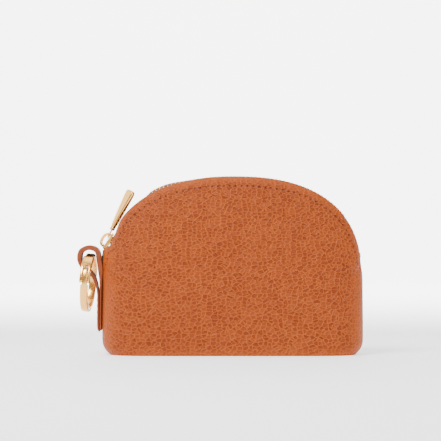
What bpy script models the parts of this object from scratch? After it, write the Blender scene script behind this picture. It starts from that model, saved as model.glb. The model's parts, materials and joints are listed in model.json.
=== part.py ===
# A small domed leather pouch with a zip over its arch and a sprung gate ring on a side strap.
# Metres, +Z up.  The base stands on Z = 0, the front faces -Y, the strap and ring are at -X.
import math

import bmesh
import bpy
from mathutils import Matrix, Vector

# Driving dimensions
HALF_WIDTH = 0.05494
HALF_DEPTH = 0.015
ARCH_START = 0.03373
ARCH_RISE = 0.0423
ARCH_POWER_LEFT = 2.22
ARCH_POWER_RIGHT = 2.43
CORNER_INSET = 0.0036
CORNER_RISE = 0.008
ARCH_SHARE = 0.7
ZIP_GAP = 0.0036
SEAM_GAP = 0.0002
SEAM_TOP = 0.036
ZIP_LOW = 0.042
LEATHER = 0.0014
LAYER_GAP = 0.0003
TAPE = 0.0005
LINING = 0.0005
ZIP_FOOT = 0.041
TAPE_EDGE = 0.0013
TOOTH_PITCH = 0.00175
TOOTH_LENGTH = 0.00057
TOOTH_REACH = 0.00045
RAIL_NEAR = 0.0010
RAIL_FAR = 0.0017
CHAIN_PROUD = 0.0003
CHAIN_DEPTH = 0.0013
CHAIN_START = 0.0526
CHAIN_END = 0.044
STITCH_INSET = 0.0042
THREAD_RADIUS = 0.0003
BASE_THICKNESS = 0.0016
BOTTOM_STOP_SINK = 0.0005
BOTTOM_STOP_HALF = (0.001, 0.0018, 0.0008)
ROWS = 40
COLUMNS = (0, 0.1, 0.26, 0.36, 0.5, 0.67, 0.83, 0.96)
LINING_FIRST_COLUMN = 2

SLIDER_HEIGHT = 0.0483
SLIDER_REACH = 0.0532
PATH_CENTRE_HEIGHT = 0.014
SLIDER_LENGTH = 0.0078
SLIDER_HALF_WIDTH = 0.00325
PLATE = 0.0008
CHANNEL_TOP = -0.0003
CHANNEL_FLOOR = -0.0038
WEDGE_HALF_WIDTH = 0.0009
BRIDGE_RISE = 0.0022
BRIDGE_HALF_WIDTH = 0.0006

PULL_LENGTH = 0.0225
PULL_ANGLE = math.radians(63.5)
PULL_TWIST = math.radians(35)
PULL_HALF_THICKNESS = 0.00095
PULL_SECTION = ((-1, 0.7), (-0.8, 1), (0.8, 1), (1, 0.7))
PULL_PIVOT_ALONG = 0.0013
PULL_PIVOT_RISE = 0.0011
EYE_HALF = 0.00025

STRAP_HALF_WIDTH = 0.0045
STRAP_THICKNESS = 0.0021
TAIL_LOW = 0.010
TAIL_HIGH = 0.0315
TAIL_INNER = -0.0553
TAIL_OUTER = -0.0579

RING_CENTRE = Vector((-0.0606, 0, 0.0307))
RING_INNER = 0.0107
RING_OUTER = 0.0125
RING_HALF_WIDTH = 0.0016
RING_YAW = math.radians(-6)
RING_LEAN = math.radians(5)
RING_LOOP_GAP = 0.0002
FORK_INNER = 0.0103
FORK_OUTER = 0.0128
FORK_HALF_WIDTH = 0.0022
FORK_SLOT = 0.00135
TONGUE_HALF_WIDTH = 0.00105
PIN_ANGLE = 8
PIN_RADIUS = 0.0005
PIN_CLEARANCE = 0.0003
FORK_BORE_HALF = 0.004
GATE_BORE_HALF = 0.003


def clear_scene():
    for item in list(bpy.data.objects):
        bpy.data.objects.remove(item, do_unlink=True)


def material(name, colour, roughness, metallic):
    made = bpy.data.materials.new(name)
    made.use_nodes = True
    shader = made.node_tree.nodes["Principled BSDF"]
    shader.inputs["Base Color"].default_value = (*colour, 1)
    shader.inputs["Roughness"].default_value = roughness
    shader.inputs["Metallic"].default_value = metallic
    made.diffuse_color = (*colour, 1)
    return made


def make(name, points, faces, finish, smooth=40):
    mesh = bpy.data.meshes.new(name)
    mesh.from_pydata([tuple(p) for p in points], [], faces)
    work = bmesh.new()
    work.from_mesh(mesh)
    bmesh.ops.recalc_face_normals(work, faces=work.faces)
    work.to_mesh(mesh)
    work.free()
    mesh.shade_smooth()
    mesh.set_sharp_from_angle(angle=math.radians(smooth))
    mesh.materials.append(finish)
    made = bpy.data.objects.new(name, mesh)
    bpy.context.collection.objects.link(made)
    return made


def joint_empty(name, place):
    made = bpy.data.objects.new(name, None)
    made.location = place
    made.empty_display_size = 0.005
    bpy.context.collection.objects.link(made)
    return made


def hang(piece, empty):
    piece.parent = empty
    piece.location = -empty.location


def hidden_cutter(piece):
    piece.hide_render = True
    piece.display_type = "WIRE"
    return piece


def boolean(piece, other, operation):
    change = piece.modifiers.new(other.name, "BOOLEAN")
    change.operation = operation
    change.solver = "EXACT"
    change.object = other


def box_points(centre, axes, half):
    # The eight corners of a box with its own three axes.
    corners = []
    for i in (-1, 1):
        for j in (-1, 1):
            for k in (-1, 1):
                reach = axes[0] * half[0] * i + axes[1] * half[1] * j + axes[2] * half[2] * k
                corners.append(centre + reach)
    return corners


BOX_FACES = [(0, 1, 3, 2), (4, 6, 7, 5), (0, 4, 5, 1), (2, 3, 7, 6), (0, 2, 6, 4), (1, 5, 7, 3)]
WORLD_AXES = (Vector((1, 0, 0)), Vector((0, 1, 0)), Vector((0, 0, 1)))


def box(name, centre, axes, half, finish):
    return make(name, box_points(centre, axes, half), BOX_FACES, finish)


def smooth_step(low, high, value):
    t = min(max((value - low) / (high - low), 0), 1)
    return t * t * (3 - 2 * t)


# The pouch's outline, seen from the front.  a runs from -1 at the left base corner over the
# apex at 0 to 1 at the right base corner.
def outline(a):
    side = -1 if a < 0 else 1
    share = abs(a)
    if share <= ARCH_SHARE:
        power = ARCH_POWER_LEFT if side < 0 else ARCH_POWER_RIGHT
        angle = math.pi / 2 * (1 - share / ARCH_SHARE)
        x = HALF_WIDTH * max(math.cos(angle), 0) ** (2 / power)
        z = ARCH_START + ARCH_RISE * math.sin(angle) ** (2 / power)
        return side * x, z
    z = ARCH_START * ((1 - share) / (1 - ARCH_SHARE)) ** 1.6
    x = HALF_WIDTH - CORNER_INSET * max(1 - z / CORNER_RISE, 0) ** 3
    return side * x, z


def rim_gap(z):
    return SEAM_GAP + (ZIP_GAP - SEAM_GAP) * smooth_step(SEAM_TOP, ZIP_LOW, z)


# One half's outer surface.  t runs from 0 at the rim to 1 at the middle of the base's edge.
def skin(a, t, side):
    x, z = outline(a)
    climb = z * z / (x * x + z * z)
    power = 2 + 7 * (1 - climb) ** 1.5
    fall = 2 - 0.4 * climb
    reach = 1 - t * t
    swell = (1 - reach ** power) ** (1 / fall)
    gap = rim_gap(z)
    return Vector((x * reach, side * (gap + (HALF_DEPTH - gap) * swell), z * reach))


def layer_point(a, t, side, depth):
    step = 0.002
    here = skin(a, t, side)
    if t > 0.999:
        return here - Vector((0, side, 0)) * depth
    across = skin(a, min(t + step, 1), side) - skin(a, max(t - step, 0), side)
    along = skin(min(a + step, 1), t, side) - skin(max(a - step, -1), t, side)
    normal = along.cross(across)
    if abs(a) > 0.999:
        normal.z = 0
    normal.normalize()
    if normal.dot(here - Vector((0, 0, 0.02))) < 0:
        normal = -normal
    return here - normal * depth


def slab(name, outer, inner, finish, pole=None):
    # A closed sheet between two grids of points, which may share one end point.
    rows = len(outer)
    columns = len(outer[0])
    points = [p for row in outer for p in row] + [p for row in inner for p in row]
    start = rows * columns
    faces = []
    for i in range(rows - 1):
        for j in range(columns - 1):
            a = i * columns + j
            b = a + columns
            faces.append((a, a + 1, b + 1, b))
            faces.append((a + start, b + start, b + 1 + start, a + 1 + start))
        a = i * columns
        b = a + columns
        faces.append((a, b, b + start, a + start))
        if pole is None:
            last = columns - 1
            faces.append((a + last, a + last + start, b + last + start, b + last))
    for i in (0, rows - 1):
        for j in range(columns - 1):
            a = i * columns + j
            faces.append((a, a + 1, a + 1 + start, a + start))
    if pole is not None:
        top = len(points)
        points = points + list(pole)
        for i in range(rows - 1):
            a = i * columns + columns - 1
            b = a + columns
            faces.append((a, top, b))
            faces.append((a + start, b + start, top + 1))
        for i in (0, rows - 1):
            a = i * columns + columns - 1
            faces.append((a, top, top + 1, a + start))
    return make(name, points, faces, finish)


def shares(count):
    return [-1 + 2 * i / count for i in range(count + 1)]


def shell(name, side, near, far, first, finish):
    # A whole half of the pouch between two depths, from column number `first` inwards.
    steps = COLUMNS[first:]
    outer = [[layer_point(a, t, side, near) for t in steps] for a in shares(ROWS)]
    inner = [[layer_point(a, t, side, far) for t in steps] for a in shares(ROWS)]
    pole = (layer_point(0, 1, side, near), layer_point(0, 1, side, far))
    return slab(name, outer, inner, finish, pole)


def share_at_height(z, side):
    low, high = 0.0, 1.0
    for _ in range(40):
        middle = (low + high) / 2
        if outline(side * middle)[1] > z:
            low = middle
        else:
            high = middle
    return side * low


def zip_shares(left, right, count):
    a = share_at_height(left, -1)
    b = share_at_height(right, 1)
    return [a + (b - a) * i / count for i in range(count + 1)]


def arch_frame(a):
    # Place, tangent and outward direction on the outline.
    step = 0.001
    x0, z0 = outline(a - step)
    x1, z1 = outline(a + step)
    x, z = outline(a)
    tangent = Vector((x1 - x0, 0, z1 - z0)).normalized()
    return Vector((x, 0, z)), tangent, Vector((-tangent.z, 0, tangent.x))


def tape(name, side, finish):
    rows = [a for a in shares(ROWS) if outline(a)[1] > ZIP_FOOT]
    near = LEATHER + LAYER_GAP
    far = near + TAPE

    def row(a, depth):
        place, _, out = arch_frame(a)
        edge = place - out * depth + Vector((0, side * TAPE_EDGE, 0))
        return [edge] + [layer_point(a, t, side, depth) for t in COLUMNS[:3]]

    return slab(name, [row(a, near) for a in rows], [row(a, far) for a in rows], finish)


def chain_stations(phase):
    # Shares of the outline at the two ends of each tooth, an even pitch apart along the arch.
    fine = zip_shares(CHAIN_START, CHAIN_END, 600)
    places = [arch_frame(a)[0] for a in fine]
    lengths = [0.0]
    for p, q in zip(places, places[1:]):
        lengths.append(lengths[-1] + (q - p).length)
    stations = []
    k = 0
    wanted = phase
    while wanted + TOOTH_LENGTH < lengths[-1]:
        for target in (wanted, wanted + TOOTH_LENGTH):
            while lengths[k + 1] < target:
                k += 1
            part = (target - lengths[k]) / (lengths[k + 1] - lengths[k])
            stations.append(fine[k] + (fine[k + 1] - fine[k]) * part)
        wanted += TOOTH_PITCH
    return stations


def teeth(name, side, phase, finish):
    points = []
    for a in chain_stations(phase):
        place, _, out = arch_frame(a)
        top = place + out * CHAIN_PROUD
        low = place - out * CHAIN_DEPTH
        for y in (RAIL_FAR, RAIL_NEAR, -TOOTH_REACH):
            shift = Vector((0, side * y, 0))
            points.append(top + shift)
            points.append(low + shift)
    faces = []
    count = len(points) // 6
    for i in range(count - 1):
        a = 6 * i
        b = a + 6
        faces += [(a, b, b + 1, a + 1), (a, a + 2, b + 2, b), (a + 1, b + 1, b + 3, a + 3)]
        if i % 2:
            faces.append((a + 2, a + 3, b + 3, b + 2))
            continue
        faces += [(a + 2, a + 4, b + 4, b + 2), (a + 3, b + 3, b + 5, a + 5), (a + 4, a + 5, b + 5, b + 4)]
        faces += [(a + 2, a + 3, a + 5, a + 4), (b + 2, b + 4, b + 5, b + 3)]
    last = 6 * (count - 1)
    faces += [(0, 1, 3, 2), (last, last + 2, last + 3, last + 1)]
    return make(name, points, faces, finish)


def stitching(name, side, finish):
    # A thin square thread on the leather, one stitch inset inside the edge band.
    rows = zip_shares(SEAM_TOP + 0.004, SEAM_TOP + 0.004, 60)
    share = 0.235
    top = -(LAYER_GAP + 2 * THREAD_RADIUS)
    low = -LAYER_GAP
    outer = [[layer_point(a, share, side, top), layer_point(a, share + 0.012, side, top)] for a in rows]
    inner = [[layer_point(a, share, side, low), layer_point(a, share + 0.012, side, low)] for a in rows]
    return slab(name, outer, inner, finish)


def plate_outline(inset):
    left = [layer_point(-1, j / 10, -1, inset) for j in range(10)]
    front = left + [Vector((0, -HALF_DEPTH + inset, 0))] + [Vector((-p.x, p.y, 0)) for p in reversed(left)]
    return front + [Vector((p.x, -p.y, 0)) for p in reversed(front)]


def plate(name, inset, low, high, finish):
    ring = plate_outline(inset)
    count = len(ring)
    points = [p + Vector((0, 0, low)) for p in ring] + [p + Vector((0, 0, high)) for p in ring]
    faces = [tuple(reversed(range(count))), tuple(range(count, 2 * count))]
    for i in range(count):
        j = (i + 1) % count
        faces.append((i, j, j + count, i + count))
    return make(name, points, faces, finish)


def top_stop(name, side, finish):
    place, tangent, out = arch_frame(share_at_height(0.0427, -1))
    centre = place - out * 0.0005 + Vector((0, side * 0.00125, 0))
    return box(name, centre, (tangent, WORLD_AXES[1], out), (0.0008, 0.0006, 0.0008), finish)


def bottom_stop(finish):
    place, tangent, out = arch_frame(share_at_height(0.0425, 1))
    middle = place - out * BOTTOM_STOP_SINK
    return box("zip_bottom_stop", middle, (tangent, WORLD_AXES[1], out), BOTTOM_STOP_HALF, finish)


def slider_axes():
    radius = Vector((-SLIDER_REACH, 0, SLIDER_HEIGHT - PATH_CENTRE_HEIGHT)).normalized()
    along = Vector((radius.z, 0, -radius.x))
    return (along, WORLD_AXES[1], radius)


def pull_pivot_place():
    axes = slider_axes()
    return Vector((-SLIDER_REACH, 0, SLIDER_HEIGHT)) + axes[0] * PULL_PIVOT_ALONG + axes[2] * PULL_PIVOT_RISE


def slider_body(finish):
    # Two plates joined by a wedge at the leading end, side lips, and a bridge over the top.
    axes = slider_axes()
    centre = Vector((-SLIDER_REACH, 0, SLIDER_HEIGHT))
    half = SLIDER_LENGTH / 2
    lip = 0.0004
    lip_place = SLIDER_HALF_WIDTH - lip - 0.0001
    blocks = [
        ("top_lip_front", (0, -lip_place, CHANNEL_TOP - 0.0002), (half - 0.0001, lip, 0.0006)),
        ("top_lip_back", (0, lip_place, CHANNEL_TOP - 0.0002), (half - 0.0001, lip, 0.0006)),
        ("bottom_plate", (0, 0, CHANNEL_FLOOR - PLATE / 2), (half, SLIDER_HALF_WIDTH, PLATE / 2)),
        ("wedge", (-half + 0.0012, 0, (CHANNEL_TOP + CHANNEL_FLOOR) / 2), (0.0011, WEDGE_HALF_WIDTH, 0.002)),
    ]
    body = box("slider_body", centre + axes[2] * (CHANNEL_TOP + PLATE / 2), axes,
               (half, SLIDER_HALF_WIDTH, PLATE / 2), finish)
    for name, offset, size in blocks:
        place = centre + axes[0] * offset[0] + axes[1] * offset[1] + axes[2] * offset[2]
        boolean(body, hidden_cutter(box(name, place, axes, size, finish)), "UNION")
    boolean(body, hidden_cutter(bridge(centre, axes, finish)), "UNION")
    return body


def bridge(centre, axes, finish):
    # An arched strap from one end of the top plate to the other.
    base = CHANNEL_TOP + PLATE
    outer = []
    inner = []
    for i in range(11):
        angle = math.pi * i / 10
        along = -0.0033 * math.cos(angle)
        rise = BRIDGE_RISE * math.sin(angle) ** 0.6
        outer.append((along, base - 0.0003 + rise))
        inner.append((along * 0.8, base - 0.0003 + max(rise - 0.0006, 0)))
    rows_out = []
    rows_in = []
    for (s, n), (u, m) in zip(outer, inner):
        outer_place = centre + axes[0] * s + axes[2] * n
        rows_out.append([outer_place + axes[1] * y for y in (-BRIDGE_HALF_WIDTH, BRIDGE_HALF_WIDTH)])
        inner_place = centre + axes[0] * u + axes[2] * m
        rows_in.append([inner_place + axes[1] * y for y in (-BRIDGE_HALF_WIDTH, BRIDGE_HALF_WIDTH)])
    return slab("bridge", rows_out, rows_in, finish)


def pull_frame():
    # Columns: along the pull, across its broad face, out of its broad face.
    along = Vector((math.cos(PULL_ANGLE), 0, math.sin(PULL_ANGLE)))
    flat_out = Vector((-along.z, 0, along.x))
    across = WORLD_AXES[1] * math.cos(PULL_TWIST) + flat_out * math.sin(PULL_TWIST)
    out = flat_out * math.cos(PULL_TWIST) - WORLD_AXES[1] * math.sin(PULL_TWIST)
    return along, across, out


def pull_tab(finish):
    along, across, out = pull_frame()
    profile = [(0.0042, 0.0009, 0.6), (0.0055, 0.00085, 0.9), (0.010, 0.00125, 1), (0.016, 0.0018, 1),
               (0.0205, 0.0023, 1), (0.0218, 0.0020, 0.9), (PULL_LENGTH, 0.0010, 0.7)]
    rows_out = []
    rows_in = []
    for place, half, thick in profile:
        rise = PULL_HALF_THICKNESS * thick
        start = pull_pivot_place() + along * place
        rows_out.append([start + across * half * u + out * rise * v for u, v in PULL_SECTION])
        rows_in.append([start + across * half * u - out * rise * v for u, v in PULL_SECTION])
    tab = slab("pull_tab", rows_out, rows_in, finish)
    boolean(tab, hidden_cutter(pull_eye(along, finish)), "UNION")
    return tab


def pull_eye(along, finish):
    # A square wire eye round the bridge's upper end, from the neck to the crossbar under it.
    flat_out = Vector((-along.z, 0, along.x))
    half = EYE_HALF
    loop = [(0.0, 0.00135), (0.0046, 0.00135), (0.0046, -0.00135), (0.0, -0.00135)]
    grids = []
    for scale in (-1, 1):
        grid = []
        for place, y in loop:
            grow = half * scale
            p = place + (grow if place > 0.001 else -grow)
            q = y + math.copysign(grow, y)
            grid.append(pull_pivot_place() + along * p + WORLD_AXES[1] * q)
        grids.append(grid)
    points = []
    for i in range(4):
        for grid in grids:
            for v in (-half, half):
                points.append(grid[i] + flat_out * v)
    faces = []
    for i in range(4):
        a = 4 * i
        b = 4 * ((i + 1) % 4)
        faces += [(a, b, b + 1, a + 1), (a + 2, a + 3, b + 3, b + 2)]
        faces += [(a, a + 2, b + 2, b), (a + 1, b + 1, b + 3, a + 3)]
    return make("pull_eye", points, faces, finish)


def strap_tail(finish):
    centre = Vector(((TAIL_INNER + TAIL_OUTER) / 2, 0, (TAIL_LOW + TAIL_HIGH) / 2))
    half = ((TAIL_INNER - TAIL_OUTER) / 2, STRAP_HALF_WIDTH, (TAIL_HIGH - TAIL_LOW) / 2)
    tail = box("strap_tail", centre, WORLD_AXES, half, finish)
    rounding = tail.modifiers.new("rounding", "BEVEL")
    rounding.width = 0.0006
    rounding.segments = 2
    return tail


STRAP_ROUTE = [(-0.0570, 0.0336), (-0.05645, 0.0360), (-0.0568, 0.0406), (-0.0583, 0.0441), (-0.0611, 0.0453),
               (-0.0638, 0.0441), (-0.0645, 0.0412), (-0.0638, 0.0383), (-0.0618, 0.0364), (-0.0592, 0.0352)]


def closed_curve(route, parts):
    points = []
    count = len(route)
    for i in range(count):
        p = [Vector((route[(i + k) % count][0], 0, route[(i + k) % count][1])) for k in (-1, 0, 1, 2)]
        for k in range(parts):
            t = k / parts
            linear = (p[2] - p[0]) * t
            square = (2 * p[0] - 5 * p[1] + 4 * p[2] - p[3]) * t ** 2
            cube = (3 * p[1] - p[0] - 3 * p[2] + p[3]) * t ** 3
            points.append(0.5 * (2 * p[1] + linear + square + cube))
    return points


def strap_loop(finish):
    centre = closed_curve(STRAP_ROUTE, 3)
    count = len(centre)
    points = []
    for i, p in enumerate(centre):
        tangent = (centre[(i + 1) % count] - centre[i - 1]).normalized()
        normal = Vector((-tangent.z, 0, tangent.x)) * STRAP_THICKNESS / 2
        for offset in (normal, -normal):
            for y in (-STRAP_HALF_WIDTH, STRAP_HALF_WIDTH):
                points.append(p + offset + Vector((0, y, 0)))
    faces = []
    for i in range(count):
        a = 4 * i
        b = 4 * ((i + 1) % count)
        faces += [(a, b, b + 1, a + 1), (a + 2, a + 3, b + 3, b + 2)]
        faces += [(a, a + 2, b + 2, b), (a + 1, b + 1, b + 3, a + 3)]
    return make("strap_loop", points, faces, finish)


def ring_matrix():
    # The ring's centre is given hanging straight down; it leans outwards about its pivot in the loop.
    pivot = ring_pivot_place()
    lean = Matrix.Translation(pivot) @ Matrix.Rotation(RING_LEAN, 4, "Y") @ Matrix.Translation(-pivot)
    return lean @ Matrix.Translation(RING_CENTRE) @ Matrix.Rotation(RING_YAW, 4, "Z")


def ring_pivot_place():
    return RING_CENTRE + Vector((0, 0, RING_OUTER + RING_LOOP_GAP))


def ring_point(angle, radius, across):
    # Angle 0 is the near side, 90 the top.  across runs along the ring's normal.
    turn = math.radians(angle)
    return ring_matrix() @ Vector((across, -radius * math.cos(turn), radius * math.sin(turn)))


def ring_sweep(name, stations, finish):
    # Each station: angle, half width, inner and outer radius, and how far the outer edge leans.
    rings = []
    for angle, half, inner, outer, lean in stations:
        ease = min(0.0004, half / 3)
        middle = (inner + outer) / 2
        ring = []
        for w, r in ((-half, inner + ease), (-half, outer - ease), (-half + ease, outer), (half - ease, outer),
                     (half, outer - ease), (half, inner + ease), (half - ease, inner), (-half + ease, inner)):
            turn = angle + lean * (r - middle) / (outer - inner)
            ring.append(ring_point(turn, r, w))
        rings.append(ring)
    points = [p for ring in rings for p in ring]
    faces = [tuple(range(8)), tuple(range(len(points) - 8, len(points)))]
    for i in range(len(rings) - 1):
        for j in range(8):
            a = 8 * i + j
            b = 8 * i + (j + 1) % 8
            faces.append((a, b, b + 8, a + 8))
    return make(name, points, faces, finish)


def even(first, last, count):
    return [first + (last - first) * i / count for i in range(count + 1)]


def ring_pin_shape(name, radius, half, finish):
    points = []
    for w in (-half, half):
        for k in range(12):
            turn = 2 * math.pi * k / 12
            angle = math.radians(PIN_ANGLE)
            middle = (RING_INNER + RING_OUTER) / 2
            local = Vector((w, -middle * math.cos(angle) + radius * math.cos(turn),
                            middle * math.sin(angle) + radius * math.sin(turn)))
            points.append(ring_matrix() @ local)
    faces = [tuple(range(12)), tuple(range(12, 24))]
    faces += [(k, (k + 1) % 12, (k + 1) % 12 + 12, k + 12) for k in range(12)]
    return make(name, points, faces, finish)


def ring_body(finish):
    plain = [(a, RING_HALF_WIDTH, RING_INNER, RING_OUTER, 0) for a in even(262, 66, 26)]
    plain = [(265.7, RING_HALF_WIDTH, RING_INNER, RING_OUTER, 9.6)] + plain
    fork = [(a, FORK_HALF_WIDTH, FORK_INNER, FORK_OUTER, 0) for a in even(61, 2, 9)]
    fork += [(0, FORK_HALF_WIDTH * 0.98, FORK_INNER + 0.0004, FORK_OUTER - 0.0004, 0)]
    body = ring_sweep("ring_body", plain + fork, finish)
    slot = [(a, FORK_SLOT, FORK_INNER - 0.002, FORK_OUTER + 0.002, 0) for a in even(37, -6, 6)]
    boolean(body, hidden_cutter(ring_sweep("fork_slot", slot, finish)), "DIFFERENCE")
    bore = ring_pin_shape("pin_bore", PIN_RADIUS + PIN_CLEARANCE, FORK_BORE_HALF, finish)
    boolean(body, hidden_cutter(bore), "DIFFERENCE")
    return body


def ring_gate(finish):
    tongue = [(a, TONGUE_HALF_WIDTH, FORK_INNER + 0.0001, FORK_OUTER - 0.0001, 0) for a in even(26, -3.5, 5)]
    plain = [(a, RING_HALF_WIDTH, RING_INNER, RING_OUTER, 0) for a in even(-5, -80, 11)]
    tip = [(-86.7, RING_HALF_WIDTH, RING_INNER, RING_OUTER, 9.6)]
    gate = ring_sweep("ring_gate", tongue + plain + tip, finish)
    bore = ring_pin_shape("gate_bore", PIN_RADIUS + PIN_CLEARANCE, GATE_BORE_HALF, finish)
    boolean(gate, hidden_cutter(bore), "DIFFERENCE")
    return gate


def gate_spring(finish):
    # A short coil in the top of the fork's slot, above the gate's tongue.
    wire = 0.00018
    coil = 0.00065
    sides = 6
    turns = 3
    steps = 12 * turns
    middle = (RING_INNER + RING_OUTER) / 2
    points = []
    for i in range(steps + 1):
        turn = 2 * math.pi * i / 12
        angle = 28.5 + 6.0 * i / steps
        for k in range(sides):
            around = 2 * math.pi * k / sides
            reach = coil + wire * math.cos(around)
            lift = math.degrees(wire * math.sin(around) / middle)
            points.append(ring_point(angle + lift, middle + reach * math.cos(turn), reach * math.sin(turn)))
    faces = [tuple(range(sides)), tuple(range(len(points) - sides, len(points)))]
    for i in range(steps):
        for k in range(sides):
            a = sides * i + k
            b = sides * i + (k + 1) % sides
            faces.append((a, b, b + sides, a + sides))
    return make("gate_spring", points, faces, finish)


def main():
    clear_scene()
    leather = material("leather", (0.50, 0.153, 0.048), 0.5, 0)
    strap = material("strap_leather", (0.47, 0.14, 0.045), 0.5, 0)
    cloth = material("lining_cloth", (0.10, 0.06, 0.04), 0.9, 0)
    tape_cloth = material("tape_cloth", (0.08, 0.04, 0.02), 0.85, 0)
    thread = material("thread", (0.42, 0.12, 0.04), 0.7, 0)
    gold = material("gold", (0.83, 0.55, 0.27), 0.2, 1)
    brass = material("brass", (0.55, 0.33, 0.13), 0.3, 1)
    steel = material("spring_steel", (0.5, 0.5, 0.5), 0.3, 1)

    front_hinge = joint_empty("front_half_hinge", Vector((0, -0.013, 0.001)))
    slider_centre = joint_empty("slider_path_centre", Vector((0, 0, PATH_CENTRE_HEIGHT)))
    pull_pivot = joint_empty("pull_pivot", pull_pivot_place())
    ring_pivot = joint_empty("ring_pivot", ring_pivot_place())
    gate_place = ring_point(PIN_ANGLE, (RING_INNER + RING_OUTER) / 2, 0)
    gate_pivot = joint_empty("gate_pivot", gate_place)

    floor = box("lining_foot_cutter", Vector((0, 0, -0.01)), WORLD_AXES, (0.08, 0.04, 0.0129), cloth)
    hidden_cutter(floor)
    lining_near = LEATHER + 2 * LAYER_GAP + TAPE + LAYER_GAP
    for word, side in (("back", 1), ("front", -1)):
        pieces = [
            shell(word + "_panel", side, 0, LEATHER, 0, leather),
            shell("lining_" + word, side, lining_near, lining_near + LINING, LINING_FIRST_COLUMN, cloth),
            tape("zip_tape_" + word, side, tape_cloth),
            teeth("zip_teeth_" + word, side, 0 if side > 0 else TOOTH_PITCH / 2, brass),
            stitching(word + "_stitching", side, thread),
            top_stop("zip_top_stop_" + word, side, brass),
        ]
        boolean(pieces[1], floor, "DIFFERENCE")
        if side < 0:
            for piece in pieces:
                hang(piece, front_hinge)
    plate("base_panel", LEATHER + LAYER_GAP, 0, BASE_THICKNESS, leather)
    floor_low = BASE_THICKNESS + LAYER_GAP
    plate("lining_floor", lining_near + LAYER_GAP, floor_low, floor_low + LINING, cloth)
    bottom_stop(brass)
    hang(slider_body(gold), slider_centre)
    hang(pull_tab(gold), pull_pivot)
    strap_tail(strap)
    strap_loop(strap)
    hang(ring_body(gold), ring_pivot)
    hang(ring_pin_shape("gate_pin", PIN_RADIUS, FORK_HALF_WIDTH - 0.0001, steel), ring_pivot)
    hang(gate_spring(steel), ring_pivot)
    hang(ring_gate(gold), gate_pivot)


main()
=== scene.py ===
import json
import math

import bmesh
import bpy
from mathutils import Matrix, Vector, noise
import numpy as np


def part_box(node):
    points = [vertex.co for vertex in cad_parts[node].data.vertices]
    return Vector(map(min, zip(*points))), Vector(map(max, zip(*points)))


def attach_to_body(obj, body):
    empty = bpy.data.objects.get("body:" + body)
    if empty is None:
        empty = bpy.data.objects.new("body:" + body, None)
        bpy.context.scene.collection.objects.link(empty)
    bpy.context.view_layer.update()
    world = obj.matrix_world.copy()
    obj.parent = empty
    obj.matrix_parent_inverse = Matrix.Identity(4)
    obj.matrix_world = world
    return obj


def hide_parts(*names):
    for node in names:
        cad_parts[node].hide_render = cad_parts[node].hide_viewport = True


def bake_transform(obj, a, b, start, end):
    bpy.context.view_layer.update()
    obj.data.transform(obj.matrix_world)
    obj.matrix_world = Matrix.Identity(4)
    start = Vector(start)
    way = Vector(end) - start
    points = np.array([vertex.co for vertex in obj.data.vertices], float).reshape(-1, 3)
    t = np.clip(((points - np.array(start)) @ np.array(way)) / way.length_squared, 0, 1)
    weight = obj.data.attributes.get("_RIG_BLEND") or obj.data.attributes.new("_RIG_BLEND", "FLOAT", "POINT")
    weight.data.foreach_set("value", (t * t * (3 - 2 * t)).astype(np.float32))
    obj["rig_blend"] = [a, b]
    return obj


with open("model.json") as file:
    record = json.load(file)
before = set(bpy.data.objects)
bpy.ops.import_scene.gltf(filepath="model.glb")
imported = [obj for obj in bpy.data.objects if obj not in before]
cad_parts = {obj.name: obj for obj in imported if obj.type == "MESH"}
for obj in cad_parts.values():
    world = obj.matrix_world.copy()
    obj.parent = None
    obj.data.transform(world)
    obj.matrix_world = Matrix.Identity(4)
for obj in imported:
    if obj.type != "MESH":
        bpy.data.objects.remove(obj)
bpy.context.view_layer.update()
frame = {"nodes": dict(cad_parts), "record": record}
mm = 0.001

pouchShape = {"archPowerLeft": 2.22, "archPowerRight": 2.43, "archStart": 0.4436, "cornerInset": 3.6 * mm,
              "cornerRise": 8 * mm, "zipGap": 3.6 * mm, "seamGap": 0.2 * mm, "seamTop": 36 * mm,
              "zipLow": 42 * mm, "seamRecess": 1.4 * mm, "sideBulge": 1.2 * mm,
              "sliderDip": 0.9 * mm, "shoulder": 1.3 * mm, "haunch": 0.6 * mm, "undulation": 0.16 * mm}
# dark is the leather's darker tone and also the painted shade in the grain's dimples and along the stitch
# crease.
# deep is the painted shade in the stitch holes.
leatherLook = {"light": (0.365, 0.071, 0.004), "dark": (0.155, 0.017, 0.001), "deep": (0.07, 0.009, 0.001),
               "cellWidth": 2.15, "cellHeight": 1.6, "roughness": 0.52, "grainHeight": 0.55 * mm,
               "bandWidth": 0.8, "stitchInset": 4.9, "stitchPitch": 2.65}
panelBuild = {"thickness": 1.4 * mm, "rows": 260, "columns": 70, "edgeRound": 0.35 * mm}
liningBuild = {"depth": 2.5 * mm, "thickness": 0.5 * mm, "rows": 160, "columns": 36, "foot": 2.9 * mm,
               "start": 0.2, "span": 0.79, "colour": (0.085, 0.05, 0.032)}
tapeBuild = {"depth": 1.7 * mm, "thickness": 0.5 * mm, "edge": 1.3 * mm, "foot": 37 * mm,
             "colour": (0.035, 0.018, 0.010)}
toothBuild = {"pitch": 1.75 * mm, "proud": 0.3 * mm, "height": 1.5 * mm, "length": 0.85 * mm,
              "first": 45.5 * mm, "last": 44 * mm, "stop": 42.7 * mm,
              "clampPlace": 1.45 * mm, "clampWidth": 1.1 * mm, "headPlace": 0.45 * mm,
              "headWidth": 1.3 * mm, "headLength": 0.72, "headHeight": 0.8}
threadBuild = {"radius": 0.22 * mm, "sink": 0.26 * mm, "foot": 39.5 * mm, "colour": (0.24, 0.05, 0.012)}
goldLook = {"colour": (0.95, 0.50, 0.12), "roughness": 0.24}
brassLook = {"colour": (0.50, 0.19, 0.05), "roughness": 0.36}
strapBuild = {"halfWidth": 4.5 * mm, "edge": 0.35 * mm}
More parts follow.
